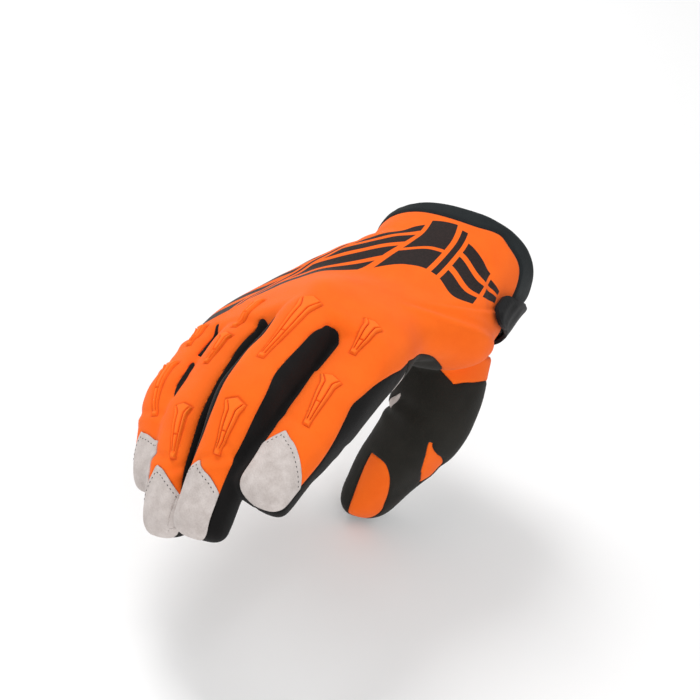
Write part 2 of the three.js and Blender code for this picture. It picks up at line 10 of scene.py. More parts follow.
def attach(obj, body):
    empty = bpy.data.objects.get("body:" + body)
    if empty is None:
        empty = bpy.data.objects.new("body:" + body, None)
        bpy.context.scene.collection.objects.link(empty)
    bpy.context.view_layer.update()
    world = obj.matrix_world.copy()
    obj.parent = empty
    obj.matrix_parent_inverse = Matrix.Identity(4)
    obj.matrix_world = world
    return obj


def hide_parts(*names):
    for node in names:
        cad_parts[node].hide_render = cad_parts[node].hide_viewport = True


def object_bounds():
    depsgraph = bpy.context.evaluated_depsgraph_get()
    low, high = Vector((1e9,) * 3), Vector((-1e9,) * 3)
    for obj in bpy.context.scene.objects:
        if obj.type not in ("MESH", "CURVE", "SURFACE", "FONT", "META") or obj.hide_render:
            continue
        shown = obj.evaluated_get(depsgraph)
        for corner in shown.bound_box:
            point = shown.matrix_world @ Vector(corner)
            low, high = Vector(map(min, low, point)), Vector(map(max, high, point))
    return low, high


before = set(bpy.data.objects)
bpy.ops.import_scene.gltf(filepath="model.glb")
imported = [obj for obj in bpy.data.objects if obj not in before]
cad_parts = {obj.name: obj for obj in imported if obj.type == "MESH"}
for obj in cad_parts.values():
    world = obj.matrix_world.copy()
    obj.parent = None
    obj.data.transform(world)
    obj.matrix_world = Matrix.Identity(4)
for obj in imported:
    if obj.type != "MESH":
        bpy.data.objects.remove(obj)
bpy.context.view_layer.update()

# The camera
# It stands where the photograph was taken from: above the thumb side, in front of the fingertips, and rolled.
view_target = Vector((-0.0086, -0.0915, -0.002))
view_azimuth = math.radians(13.2)
view_elevation = math.radians(41.3)
view_roll = math.radians(23.1)
view_distance = 1.051
view_back = Vector((
    math.sin(view_azimuth) * math.cos(view_elevation),
    -math.cos(view_azimuth) * math.cos(view_elevation),
    math.sin(view_elevation),
))
view_level = Vector((math.cos(view_azimuth), math.sin(view_azimuth), 0))
view_rise = view_back.cross(view_level)
view_right = math.cos(view_roll) * view_level + math.sin(view_roll) * view_rise
view_up = math.cos(view_roll) * view_rise - math.sin(view_roll) * view_level
camera_data = bpy.data.cameras.new("camera")
camera_data.lens = 120.5
camera_data.sensor_width = 36
camera_data.clip_start = 0.05
camera_data.clip_end = 20
camera = bpy.data.objects.new("camera", camera_data)
bpy.context.scene.collection.objects.link(camera)
camera.matrix_world = Matrix.Translation(view_target + view_distance * view_back) @ Matrix(
    (view_right, view_up, view_back)
).transposed().to_4x4()
bpy.context.scene.camera = camera

# The form that the glove is worn on
# The cloth takes the shape of the hand in it: a palm, four fingers on an arch of knuckles, and a thumb. Each
# is a tube round a bent line, with changing width and height, as in the CAD model. A piece is in millimetres
# until it is finished.
per_metre = 1000
hand_length = 115
thumb_length = 101
finger_width = 26
knuckle_arch = 78
finger_root = -20
thumb_root = 1.8
wrist_roll = 9
wrist_lean = 0.2
wrist_lean_share = 0.35


def curve(rows, key, at):
    """Value at a place along a short table of (place, value) rows, on a smooth curve through them."""
    places = np.array([row[0] for row in rows], float)
    values = np.array([row[key] for row in rows], float)
    at = np.asarray(at, float)
    i = np.clip(np.searchsorted(places, at, side="right") - 1, 0, len(rows) - 2)
    last = len(rows) - 1
    before = np.maximum(i - 1, 0)
    after = np.minimum(i + 2, last)
    span = places[i + 1] - places[i]
    t = np.clip((at - places[i]) / span, 0, 1)
    slope_in = (values[i + 1] - values[before]) / (places[i + 1] - places[before]) * span
    slope_out = (values[after] - values[i]) / (places[after] - places[i]) * span
    slope_in = np.where(i == 0, 0, slope_in)
    slope_out = np.where(i + 1 == last, 0, slope_out)
    return (
        (2 * t**3 - 3 * t**2 + 1) * values[i]
        + (t**3 - 2 * t**2 + t) * slope_in
        + (3 * t**2 - 2 * t**3) * values[i + 1]
        + (t**3 - t**2) * slope_out
    )


def smooth_step(x, low, high):
    t = np.clip((np.asarray(x, float) - low) / (high - low), 0, 1)
    return t * t * (3 - 2 * t)


def digit(root, swing, dip, roll, start, length, bends, sections, width, height, blunt):
    """Tube of a finger or the thumb: its line, its directions and its half sizes, one millimetre apart."""
    turned = (
        Matrix.Rotation(math.radians(swing), 3, "Z")
        @ Matrix.Rotation(math.radians(dip), 3, "X")
        @ Matrix.Rotation(math.radians(roll), 3, "Y")
    )
    side = np.array(turned.col[0])
    distal = -np.array(turned.col[1])
    dorsal = np.array(turned.col[2])
    places = np.arange(start, length + 9, 1.0)
    angles = sum(
        math.radians(bend) * smooth_step(places, at - half, at + half) for at, half, bend in bends
    ) + 0 * places
    forward = np.outer(np.cos(angles), distal) - np.outer(np.sin(angles), dorsal)
    up = np.outer(np.sin(angles), distal) + np.outer(np.cos(angles), dorsal)
    line = np.array(root) + distal * start + np.vstack([np.zeros(3), np.cumsum(forward[:-1], axis=0)])
    return {
        "start": start,
        "end": length,
        "line": line,
        "forward": forward,
        "up": up,
        "side": np.tile(side, (len(places), 1)),
        "wide": width / 2 * curve(sections, 1, places / length),
        "thick": height / 2 * curve(sections, 2, places / length),
        "blunt": blunt,
        "square": 2.5,
    }


finger_sections = [
    (-0.3, 0.88, 0.78),
    (0, 1, 1),
    (0.24, 1, 0.96),
    (0.46, 1, 0.95),
    (0.73, 0.92, 0.82),
    (1.1, 0.86, 0.72),
]
# length, girth, forward, lift, swing, roll, and bends at the three joints
finger_rows = [
    (94, 1.19, 9, 2.5, -2, -6, (12, 0, 8)),
    (115, 1.06, 4, 9.5, -3, 0, (9, 37, 0)),
    (99, 0.97, -3, -3.5, -6, 0, (16, 20, 14)),
    (83, 0.87, 2, -1.5, 0, 7, (4, 26, 10)),
]
fingers = []
arch_angle = math.radians(1)
for order, row in enumerate(finger_rows):
    length, girth, forward_by, lift, swing, roll, joints = row
    if order:
        pitch = finger_width * (girth + finger_rows[order - 1][1]) / 2 + 0.3 + (1 if order == 1 else 0)
        arch_angle -= pitch / knuckle_arch
    root = (
        4 + knuckle_arch * math.sin(arch_angle),
        forward_by - hand_length,
        11 + knuckle_arch * (math.cos(arch_angle) - 1) + lift,
    )
    places = (0, 0.46 * length, 0.73 * length)
    finger = digit(
        root, swing, 0, math.degrees(arch_angle) + roll, finger_root - 2, length,
        list(zip(places, (10, 9, 7), joints)),
        finger_sections, finger_width * girth, finger_width * girth, (7, 11),
    )
    finger.update(root=np.array(root), girth=girth)
    fingers.append(finger)
index, middle, ring, little = fingers

thumb = digit(
    (22.5, -34, -15), 22, 54, 38, 0, thumb_length,
    [(0.4 * thumb_length, 10, 30), (0.7 * thumb_length, 9, -6)],
    [(-0.1, 1, 0.9), (0.22, 1.1, 1.1), (0.4, 1.04, 1.05), (0.7, 0.84, 0.84), (1.1, 0.56, 0.52)],
    38, 34, (10, 13),
)

knuckles = np.array([finger["root"] for finger in fingers])
row_middle = (knuckles[0] + knuckles[3]) / 2
row_roll = math.degrees(math.atan2(*(knuckles[0] - knuckles[3])[[2, 0]]))
# share of the hand's length, width, height, and how far its section has gone across, down and round on its
# way from the wrist to the knuckles
hand_sections = [
    (-0.06, 75, 61, 0, 0, 0),
    (0, 75, 61, 0, 0, 0),
    (0.24, 77, 54, 0, -0.1, -0.07),
    (0.54, 102, 45, 0.3, 0.4, 0.42),
    (0.82, 86, 32, 1, 1, 1),
    (1.1, 77.4, 19.2, 1, 1.3, 1),
]
places = np.arange(-0.06 * hand_length, hand_length + 8, 1.0)
shares = places / hand_length
rolls = np.radians(wrist_roll + (row_roll - wrist_roll) * curve(hand_sections, 5, shares))
leans = wrist_lean * np.clip(1 - shares / wrist_lean_share, 0, 1)
hand = {
    "start": -0.06 * hand_length,
    "end": hand_length + 4,
    "line": np.column_stack([
        row_middle[0] * curve(hand_sections, 3, shares),
        -places,
        (knuckles[:, 2].mean() - 2) * curve(hand_sections, 4, shares),
    ]),
    "side": np.column_stack([np.cos(rolls), leans, np.sin(rolls)]),
    "up": np.column_stack([-np.sin(rolls), 0 * rolls, np.cos(rolls)]),
    "wide": curve(hand_sections, 1, shares) / 2,
    "thick": curve(hand_sections, 2, shares) / 2,
    "blunt": (10, 10),
    "square": 2.3,
}
hand["forward"] = np.cross(hand["up"], hand["side"])
hand["forward"] /= -np.linalg.norm(hand["forward"], axis=1)[:, None]
hand["forward"] *= np.sign(-hand["forward"][:, 1])[:, None]


def frames_at(tube, s):
    """Centre, side, up, half width and half height of a tube at each place."""
    at = np.clip(np.asarray(s, float) - tube["start"], 0, len(tube["line"]) - 1.001)
    low = at.astype(int)
    t = (at - low)[:, None]
    found = [tube[name][low] * (1 - t) + tube[name][low + 1] * t for name in ("line", "side", "up")]
    t = t[:, 0]
    return found + [tube[name][low] * (1 - t) + tube[name][low + 1] * t for name in ("wide", "thick")]


def round_off(tube, s):
    """Shares of a tube's width and height that are left in its rounded end."""
    left = []
    for depth, power in zip(tube["blunt"], (3, 2)):
        t = np.clip((np.asarray(s, float) - tube["end"] + depth) / depth, 0, 1)
        left.append((1 - t**power) ** (1 / power))
    return left


def skin(tube, s, angle, grow=0.0):
    """Points of a tube's skin. The angle is 0 on its back, 90 on its thumb side and 180 underneath."""
    s, angle = np.broadcast_arrays(np.asarray(s, float), np.radians(np.asarray(angle, float)))
    centre, side, up, wide, thick = frames_at(tube, s)
    power = 2 / tube["square"]
    x = (wide + grow) * np.sign(np.sin(angle)) * np.abs(np.sin(angle)) ** power
    y = (thick + grow) * np.sign(np.cos(angle)) * np.abs(np.cos(angle)) ** power
    if tube is hand:
        share = smooth_step(s, 0.5 * hand_length, 0.86 * hand_length)
        facing = np.column_stack([np.sin(angle), np.cos(angle)])
        total = np.zeros_like(facing)
        weights = np.zeros(len(facing))
        for finger in fingers:
            away = finger["root"] - centre
            place = np.column_stack([(away * side).sum(1), (away * up).sum(1)])
            place += facing * (finger_width * finger["girth"] / 2 + 0.5 + grow)
            weight = np.exp((place * facing).sum(1) / 2.5 - 18)
            total += place * weight[:, None]
            weights += weight
        wrapped = total / weights[:, None]
        x = x * (1 - share) + wrapped[:, 0] * share
        y = y * (1 - share) + wrapped[:, 1] * share
    end_wide, end_thick = round_off(tube, s)
    return centre + side * (x * end_wide)[:, None] + up * (y * end_thick)[:, None]


def roll_tube(bm, tube, start, around, along):
    """A sheet of cloth rolled into a tube, and closed at both ends."""
    made = bmesh.ops.create_grid(bm, x_segments=around, y_segments=along, size=1)["verts"]
    flat = np.array([v.co for v in made])
    t = (flat[:, 1] + 1) / 2
    straight = tube["end"] - max(tube["blunt"])
    straight_share = 0.85
    round_share = 0.15
    turn = np.clip((t - straight_share) / round_share, 0, 1) * np.pi / 2
    s = np.where(
        t < straight_share,
        start + (straight - start) * t / straight_share,
        straight + (tube["end"] - straight) * np.sin(turn),
    )
    for v, point in zip(made, skin(tube, s, 180 * flat[:, 0])):
        v.co = point
    bmesh.ops.remove_doubles(bm, verts=made, dist=0.01)
    bmesh.ops.holes_fill(bm, edges=[e for e in bm.edges if e.is_boundary], sides=0)


def mesh_object(name, bm):
    """A new object from a bmesh, which is used up."""
    mesh = bpy.data.meshes.new(name)
    bm.to_mesh(mesh)
    bm.free()
    mesh.shade_smooth()
    made = bpy.data.objects.new(name, mesh)
    bpy.context.scene.collection.objects.link(made)
    return made


def relax(bm, verts, factor, times):
    """Evens out a mesh, a little at a time."""
    axes = {"use_axis_x": True, "use_axis_y": True, "use_axis_z": True}
    for _ in range(times):
        bmesh.ops.smooth_vert(bm, verts=verts, factor=factor, **axes)


cloth_pitch = 1.0
body = bmesh.new()
roll_tube(body, hand, hand["start"], 96, 60)
for finger in fingers:
    roll_tube(body, finger, finger_root, 48, 60)
roll_tube(body, thumb, thumb_root, 48, 60)
bmesh.ops.recalc_face_normals(body, faces=body.faces)
form = mesh_object("form", body)
remesh = form.modifiers.new("one_skin", "REMESH")
remesh.mode = "VOXEL"
remesh.voxel_size = cloth_pitch
remeshed = form.evaluated_get(bpy.context.evaluated_depsgraph_get()).to_mesh()
body = bmesh.new()
body.from_mesh(remeshed)
bpy.data.objects.remove(form)
relax(body, body.verts, 0.5, 6)
bmesh.ops.triangulate(body, faces=body.faces)


def places_of(bm):
    return np.array([v.co for v in bm.verts]).reshape(-1, 3)


def locate(tube, points):
    """For each point, its place along a tube, angle round it, height above its skin, and offsets across."""
    reach = 60.0
    batch = 8000
    least_end = 0.08
    s = np.full(len(points), 999.0)
    angle = np.zeros(len(points))
    above = np.full(len(points), 99.0)
    across = np.zeros((len(points), 2))
    low = tube["line"].min(0) - reach
    high = tube["line"].max(0) + reach
    near = np.flatnonzero(((points > low) & (points < high)).all(1))
    for part in np.array_split(near, max(1, len(near) // batch)):
        if not len(part):
            continue
        here = points[part]
        along = here @ tube["forward"].T - (tube["line"] * tube["forward"]).sum(1)
        away_squared = (here**2).sum(1)[:, None] - 2 * here @ tube["line"].T + (tube["line"] ** 2).sum(1)
        cost = np.abs(along) + 1000 * (away_squared > reach**2)
        k = cost.argmin(1)
        rows = np.arange(len(part))
        k = np.where(along[rows, k] < 0, k - 1, k)
        k = np.clip(k, 0, len(tube["line"]) - 2)
        first = along[rows, k]
        second = along[rows, k + 1]
        t = np.clip(first / np.where(np.abs(first - second) < 1e-6, 1e-6, first - second), -3, 4)
        s[part] = tube["start"] + k + t
        centre, side, up, wide, thick = frames_at(tube, s[part])
        away = here - centre
        x = (away * side).sum(1)
        y = (away * up).sum(1)
        end_wide, end_thick = (np.maximum(left, least_end) for left in round_off(tube, s[part]))
        x_share = x / (wide * end_wide)
        y_share = y / (thick * end_thick)
        square = tube["square"]
        power = square / 2
        angle[part] = np.degrees(np.arctan2(
            np.sign(x_share) * np.abs(x_share) ** power, np.sign(y_share) * np.abs(y_share) ** power
        ))
        size = (np.abs(x / wide) ** square + np.abs(y / thick) ** square) ** (1 / square)
        distance = np.hypot(x, y)
        above[part] = distance * (1 - 1 / np.maximum(size, 1e-3))
        across[part] = np.column_stack([x, y])
    return s, angle, above, across


def per_degree(across):
    """Length of one degree round a tube, at each point's distance from the tube's line."""
    least_radius = 4
    return np.maximum(np.hypot(*across.T), least_radius) * np.pi / 180


cut_snap = 0.06


def score(bm, field):
    """Cuts the cloth where a field changes sign, and keeps the field's value at each vertex."""
    values = field(places_of(bm))
    values[np.abs(values) < cut_snap] = 0
    kept = bm.verts.layers.float.get("field") or bm.verts.layers.float.new("field")
    for v, value in zip(bm.verts, values):
        v.tag = bool(value == 0)
        v[kept] = value
    bm.verts.index_update()
    crossing = []
    for edge in bm.edges:
        a, b = values[edge.verts[0].index], values[edge.verts[1].index]
        if a * b < 0:
            crossing.append((edge, a / (a - b)))
    for edge, share in crossing:
        new = bmesh.utils.edge_split(edge, edge.verts[0], share)[1]
        new.tag = True
    bmesh.ops.connect_verts(bm, verts=[v for v in bm.verts if v.tag])
    bmesh.ops.triangulate(bm, faces=[f for f in bm.faces if len(f.verts) > 3])
    for v in bm.verts:
        v.tag = False


def cut_out(field):
    """Takes the part of the body's cloth where a field is above 0 as a panel of its own."""
    score(body, field)
    kept = body.verts.layers.float["field"]
    inside = np.array([sum(v[kept] for v in f.verts) > 0 for f in body.faces])
    panel = body.copy()
    panel.faces.ensure_lookup_table()
    body.faces.ensure_lookup_table()
    bmesh.ops.delete(panel, geom=[panel.faces[i] for i in np.flatnonzero(~inside)], context="FACES")
    bmesh.ops.delete(body, geom=[body.faces[i] for i in np.flatnonzero(inside)], context="FACES")
    return panel


def drop_crumbs(bm):
    """Removes the loose scraps of a few faces that a cut leaves."""
    least_faces = 60
    left = set(bm.faces)
    while left:
        start = left.pop()
        found, front = {start}, [start]
        while front:
            near = [f for e in front.pop().edges for f in e.link_faces if f in left]
            left.difference_update(near)
            found.update(near)
            front.extend(set(near))
        if len(found) < least_faces:
            bmesh.ops.delete(bm, geom=list(found), context="FACES")


cut_out(lambda points: 0.01 - locate(hand, points)[0])


# The folds of the worn cloth
# Stretch cloth creases where a finger bends, and lies in soft waves elsewhere. Each row is a valley with a
# swell beside it.
# tube, place along it, middle and half span of the angle, slant, width and depth
folds = [
    (index, 58, -6, 46, 0.05, 2.6, 0.5),
    (middle, 81, 0, 44, -0.09, 2.4, 0.9),
    (middle, 76, 30, 26, 0.12, 2.0, 0.7),
    (ring, 68, 0, 44, 0.08, 2.2, 0.9),
    (ring, 72, 30, 30, -0.06, 1.8, 0.7),
    (little, 49, -10, 60, 0.05, 2.2, 0.7),
    (little, 22, -50, 50, 0.03, 2.4, 0.9),
    (little, 2, -40, 60, 0.03, 3.0, 0.9),
    (index, 44, 180, 70, 0, 3.0, 1.1),
    (index, 69, 180, 60, 0, 2.6, 0.8),
    (middle, 53, 180, 70, 0, 3.2, 1.4),
    (middle, 84, 180, 60, 0, 2.6, 0.8),
    (ring, 46, 180, 70, 0, 3.0, 1.1),
    (ring, 72, 180, 60, 0, 2.6, 0.8),
    (little, 38, 180, 70, 0, 3.0, 1.1),
    (little, 61, 180, 60, 0, 2.4, 0.8),
    (thumb, 42, 185, 70, 0, 3.4, 1.2),
    (thumb, 33, -80, 50, 0.05, 3.0, 0.8),
    (thumb, 52, 20, 60, 0.08, 3.6, 0.4),
    (hand, 24, -70, 50, 0.05, 4.0, 0.8),
    (hand, 34, -95, 40, 0.08, 3.6, 0.7),
    (hand, 60, 62, 26, -0.5, 4.5, 1.3),
    (hand, 50, 52, 16, -0.9, 2.6, 0.5),
    (hand, 30, 40, 16, 0.7, 3.0, 0.4),
    (hand, 46, 80, 30, -0.3, 5.0, 0.8),
    (hand, 78, 172, 60, 0.12, 4.5, 1.3),
    (hand, 58, 200, 44, -0.2, 4.0, 1.0),
    (hand, 40, 150, 34, 0.5, 4.0, 1.0),
]


def lie_in_folds(bm):
    """Moves the cloth in and out along its normals: the rows of folds, then waves of two sizes all over."""
    swell_share = 0.6
    swell_place = 1.7
    broad_wave = 0.16
    fine_wave = 0.10
    points = places_of(bm)
    bm.normal_update()
    normals = np.array([v.normal for v in bm.verts])
    height = np.zeros(len(points))
    for tube in (hand, index, middle, ring, little, thumb):
        s, angle, above, _ = locate(tube, points)
        on_it = np.clip(2 - np.maximum(above, 0) / 2, 0, 1)
        for owner, place, at_angle, span, slant, width, depth in folds:
            if owner is not tube:
                continue
            turn = (angle - at_angle + 180) % 360 - 180
            t = (s - place - slant * turn) / width
            window = np.exp(-((turn / span) ** 4)) * on_it
            height += depth * window * (swell_share * np.exp(-((t - swell_place) ** 2)) - np.exp(-(t**2)))
    x, y, z = points.T
    wave = broad_wave * np.sin(x / 6.1 + 2.1 * np.sin(y / 17))
    height += wave * np.sin(y / 7.3 + 1.7 * np.sin(z / 11 + x / 23))
    wave = fine_wave * np.sin(y / 3.9 + x / 5.3 + 2 * np.sin(z / 9))
    height += wave * np.sin(x / 4.7 - z / 6.1)
    for v, normal, h in zip(bm.verts, normals, height):
        v.co += Vector(normal) * h


lie_in_folds(body)
skin_tree = BVHTree.FromBMesh(body)


# The cuff
# A black elastic binding, folded over the wrist edge and sewn down. It is narrow on the back and wide on the
# thumb side.
cuff_band_width = 10
# angle round the wrist, and the band's width there as a share of the named one
cuff_edges = [
    (-180, 1.2), (-90, 0.9), (-47, 0.86), (-5, 1), (10, 0.93), (28, 0.64), (40, 0.85),
    (60, 1.1), (70, 1.7), (80, 2.9), (98, 3), (120, 2.4), (180, 1.2),
]
# how far above a tube's skin a panel still takes cloth, and how far the cuff and the strips do
panel_reach = 3
strip_reach = 3.5


def put(tree, kind, settings=None, **sockets):
    """A shader node with its settings, and its sockets given a value or a link."""
    node = tree.nodes.new(kind)
    for key, value in (settings or {}).items():
        setattr(node, key, value)
    for key, value in sockets.items():
        socket = node.inputs[int(key[1:])] if key[1:].isdigit() else node.inputs[key.replace("_", " ")]
        if isinstance(value, bpy.types.NodeSocket):
            tree.links.new(value, socket)
        else:
            socket.default_value = value
    return node


def reckon(tree, operation, *values, clamp=False):
    """What a Math node makes of some values and links."""
    sockets = {f"_{place}": value for place, value in enumerate(values)}
    return put(tree, "ShaderNodeMath", {"operation": operation, "use_clamp": clamp}, **sockets).outputs[0]


def mixed(tree, share, first, second):
    """A colour between two others, each of them a value or a link."""
    return put(tree, "ShaderNodeMix", {"data_type": "RGBA"}, _0=share, _6=first, _7=second).outputs[2]


def cloth_face():
    """Shared group for every cloth and suede: fine grain, blotches and a height for the bump."""
    tree = bpy.data.node_groups.new("cloth_face", "ShaderNodeTree")
    tree.interface.new_socket("Place", in_out="INPUT", socket_type="NodeSocketVector")
    for name in ("Grain Scale", "Blotch Scale", "Ribs"):
        tree.interface.new_socket(name, in_out="INPUT", socket_type="NodeSocketFloat")
    for name in ("Tone", "Height"):
        tree.interface.new_socket(name, in_out="OUTPUT", socket_type="NodeSocketFloat")
    given = tree.nodes.new("NodeGroupInput")
    out = tree.nodes.new("NodeGroupOutput")
    place = given.outputs["Place"]
    grain = given.outputs["Grain Scale"]
    blotch = given.outputs["Blotch Scale"]
    cells = put(tree, "ShaderNodeTexVoronoi", Vector=place, Scale=grain)
    fine = put(tree, "ShaderNodeTexNoise", Vector=place, Scale=grain, Detail=3.0, Roughness=0.6)
    broad = put(tree, "ShaderNodeTexNoise", Vector=place, Scale=blotch, Detail=4.0, Roughness=0.55)
    ribs = put(
        tree, "ShaderNodeTexWave", {"bands_direction": "DIAGONAL"},
        Vector=place, Scale=given.outputs["Ribs"], Distortion=0.6, Detail=1.0,
    )
    ground = reckon(tree, "MULTIPLY_ADD", fine.outputs[0], 0.45, 0.0)
    tone = reckon(tree, "MULTIPLY_ADD", broad.outputs[0], 0.8, ground)
    shifted = reckon(tree, "SUBTRACT", tone, 0.12, clamp=True)
    pile = reckon(tree, "MULTIPLY_ADD", cells.outputs[0], -0.6, fine.outputs[0])
    height = reckon(tree, "MULTIPLY_ADD", ribs.outputs[1], 0.35, pile)
    tree.links.new(shifted, out.inputs["Tone"])
    tree.links.new(height, out.inputs["Height"])
    return tree


cloth_group = cloth_face()


def cloth(name, dark, light, grain, blotch, ribs, roughness, sheen, bump):
    """Cloth between two colours, with its grain and blotch sizes in millimetres."""
    made = bpy.data.materials.new(name)
    made.use_nodes = True
    tree = made.node_tree
    shader = tree.nodes["Principled BSDF"]
    place = put(tree, "ShaderNodeTexCoord").outputs["Object"]
    face = put(
        tree, "ShaderNodeGroup", {"node_tree": cloth_group},
        Place=place, Grain_Scale=per_metre / grain, Blotch_Scale=per_metre / blotch, Ribs=per_metre / ribs,
    )
    colour = mixed(tree, face.outputs["Tone"], (*dark, 1), (*light, 1))
    relief = put(tree, "ShaderNodeBump", Height=face.outputs["Height"], Strength=bump, Distance=0.0002)
    tree.links.new(colour, shader.inputs["Base Color"])
    tree.links.new(relief.outputs[0], shader.inputs["Normal"])
    shader.inputs["Roughness"].default_value = roughness
    shader.inputs["Sheen Weight"].default_value = sheen
    shader.inputs["Sheen Roughness"].default_value = 0.5
    shader.inputs["Specular IOR Level"].default_value = 0.12
    return made


def edge_distance(bm):
    """How far each vertex of a panel is from its edge."""
    bm.verts.index_update()
    border = [v.co for e in bm.edges if e.is_boundary for v in e.verts]
    if not border:
        return np.full(len(bm.verts), 99.0)
    tree = KDTree(len(border))
    for i, co in enumerate(border):
        tree.insert(co, i)
    tree.balance()
    return np.array([tree.find(v.co)[2] for v in bm.verts])


def to_metres(bm):
    bmesh.ops.scale(bm, vec=(1 / per_metre,) * 3, verts=bm.verts)


def sew(bm, name, material, lift, tuck, rolled, thick):
    """Finishes a panel: its edge is tucked into the seam, its middle is lifted, and it gets a thickness."""
    drop_crumbs(bm)
    distance = edge_distance(bm)
    bm.normal_update()
    swell = smooth_step(distance, 0, rolled)
    for v, h in zip(bm.verts, lift * swell - tuck * (1 - swell)):
        v.co += v.normal * h
    to_metres(bm)
    made = mesh_object(name, bm)
    made.data.materials.append(material)
    wall = made.modifiers.new("cloth_thickness", "SOLIDIFY")
    wall.thickness = thick / per_metre
    wall.offset = -1
    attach(made, "root")
    return made


def cuff_field(points):
    """A panel's field is above 0 inside the panel, and is its distance in from the nearest edge."""
    s, angle, above, _ = locate(hand, points)
    return np.minimum(cuff_band_width * curve(cuff_edges, 1, angle) - s, strip_reach - above)


black_elastic = cloth(
    "black_elastic", (0.006, 0.008, 0.009), (0.022, 0.027, 0.029),
    grain=0.5, blotch=9, ribs=1.6, roughness=0.85, sheen=0.05, bump=0.5,
)
cuff = sew(
    cut_out(cuff_field), "cuff_binding", black_elastic,
    lift=0.5, tuck=0.3, rolled=1.6, thick=1.6,
)
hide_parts("cuff_band")


# The fingertip caps
# Light grey suede with a pointed peak, laid over the end of each finger and sewn with dark thread just inside
# its cut edge. The suede is mottled and a little rubbed.
# For each finger, the angles that its back and its cap reach to on its left and on its right, at these shares
# of its length.
edge_shares = (-0.3, 0, 0.1, 0.2, 0.3, 0.38, 0.46, 0.56, 0.7, 0.84, 1.1)
finger_edges = [
    ((76, 70, 62, 60, 55, 49, 45, 43, 42, 38, 42), (80, 76, 62, 49, 42, 38, 46, 58, 72, 72, 66)),
    ((76, 64, 46, 35, 41, 38, 32, 36, 50, 84, 95), (80, 70, 47, 42, 39, 40, 51, 47, 38, 34, 34)),
    ((84, 82, 72, 52, 40, 35, 34, 38, 48, 56, 60), (70, 47, 42, 43, 45, 50, 54, 56, 58, 62, 70)),
    ((80, 76, 66, 60, 57, 56, 56, 58, 60, 60, 60), (80, 72, 62, 48, 49, 53, 54, 57, 60, 64, 66)),
]
for finger, edges in zip(fingers, finger_edges):
    finger["edges"] = [list(zip(edge_shares, edge)) for edge in edges]
# finger, name, angle of the peak, length on it, and slopes of the edge to its left and right
cap_rows = [
    (index, "index", -15, 30, 0.34, 0.17),
    (middle, "middle", -26, 31.5, 0.17, 0.18),
    (ring, "ring", -4, 28, 0.26, 0.17),
    (little, "little", -12, 25, 0.2, 0.12),
]
stitch_pitch = 2.1
stitch_inset = 2.3
stitch_length = 1.0
stitch_width = 0.42
stitch_height = 0.34
stitch_lift = 0.02


def finger_side(tube, side, s):
    return curve(tube["edges"][side], 1, s / tube["end"])


def cap_start(tube, angle, peak, length, left_slope, right_slope):
    away = angle - peak
    return tube["end"] - length + np.where(away < 0, -left_slope * away, right_slope * away)


def finger_strip(tube, points):
    """Each point's place on a finger, and its distance inside the two long edges of the finger's back."""
    s, angle, above, across = locate(tube, points)
    left = (angle + finger_side(tube, 0, s)) * per_degree(across)
    right = (finger_side(tube, 1, s) - angle) * per_degree(across)
    return s, angle, above, np.minimum(left, right)


def cap_field(tube, *shape):
    def field(points):
        s, angle, above, inside = finger_strip(tube, points)
        return np.minimum.reduce([s - cap_start(tube, angle, *shape), inside, panel_reach - above])
    return field


def stitch_mesh(bm, places):
    """A row of stitches: short rounded bars of thread, laid along the row and half sunk in the cloth."""
    for before, at, after, normal in places:
        along = (Vector(after) - Vector(before)).normalized()
        normal = Vector(normal).normalized()
        across = normal.cross(along).normalized()
        turn = Matrix((along, across, normal)).transposed().to_4x4()
        size = Matrix.Diagonal((stitch_length / 2, stitch_width / 2, stitch_height / 2, 1))
        bmesh.ops.create_uvsphere(
            bm, u_segments=6, v_segments=4, radius=1, matrix=Matrix.Translation(Vector(at)) @ turn @ size
        )


def row_on(surface, s, angle, tube):
    """Evenly spaced stitches on a surface, along a line of places and angles of a tube."""
    ray_start = 12
    ray_reach = 0.04
    nearby = 0.4
    tree = BVHTree.FromObject(surface, bpy.context.evaluated_depsgraph_get())
    outer = skin(tube, s, angle, ray_start)
    centre = frames_at(tube, np.broadcast_to(s, np.shape(angle)))[0]
    found = []
    for point, middle_point in zip(outer, centre):
        direction = Vector(middle_point - point)
        hit, normal, _, _ = tree.ray_cast(Vector(point) / per_metre, direction.normalized(), ray_reach)
        if hit is not None:
            normal = normal if normal.dot(direction) < 0 else -normal
            found.append((np.array(hit) * per_metre, np.array(normal)))
    if len(found) < 3:
        return []
    line = np.array([point for point, _ in found])
    run = np.concatenate([[0], np.cumsum(np.linalg.norm(np.diff(line, axis=0), axis=1))])
    facing = np.array([normal for _, normal in found])

    def along(values, at):
        return np.column_stack([np.interp(at, run, values[:, k]) for k in range(3)])

    at = np.arange(stitch_pitch / 2, run[-1], stitch_pitch)
    places = along(line, at)
    ahead = along(line, at + nearby)
    behind = along(line, at - nearby)
    normals = along(facing, at)
    return [(b, p + n * stitch_lift, a, n) for b, p, a, n in zip(behind, places, ahead, normals)]


def thread_row(name, places, material):
    """One object for a row of stitches."""
    bm = bmesh.new()
    stitch_mesh(bm, places)
    to_metres(bm)
    made = mesh_object(name, bm)
    made.data.materials.append(material)
    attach(made, "root")
    return made


def thread(name, colour):
    """Twisted thread, with painted shade in the grooves of its twist, where it is darker than its colour."""
    made = bpy.data.materials.new(name)
    made.use_nodes = True
    tree = made.node_tree
    shader = tree.nodes["Principled BSDF"]
    place = put(tree, "ShaderNodeTexCoord").outputs["Object"]
    twist = put(tree, "ShaderNodeTexWave", {"bands_direction": "DIAGONAL"}, Vector=place, Scale=900.0)
    # bands of half the colour are painted shade in the grooves of the twist
    tone = mixed(tree, twist.outputs[1], (*[0.5 * c for c in colour], 1), (*colour, 1))
    tree.links.new(tone, shader.inputs["Base Color"])
    shader.inputs["Roughness"].default_value = 0.6
    return made


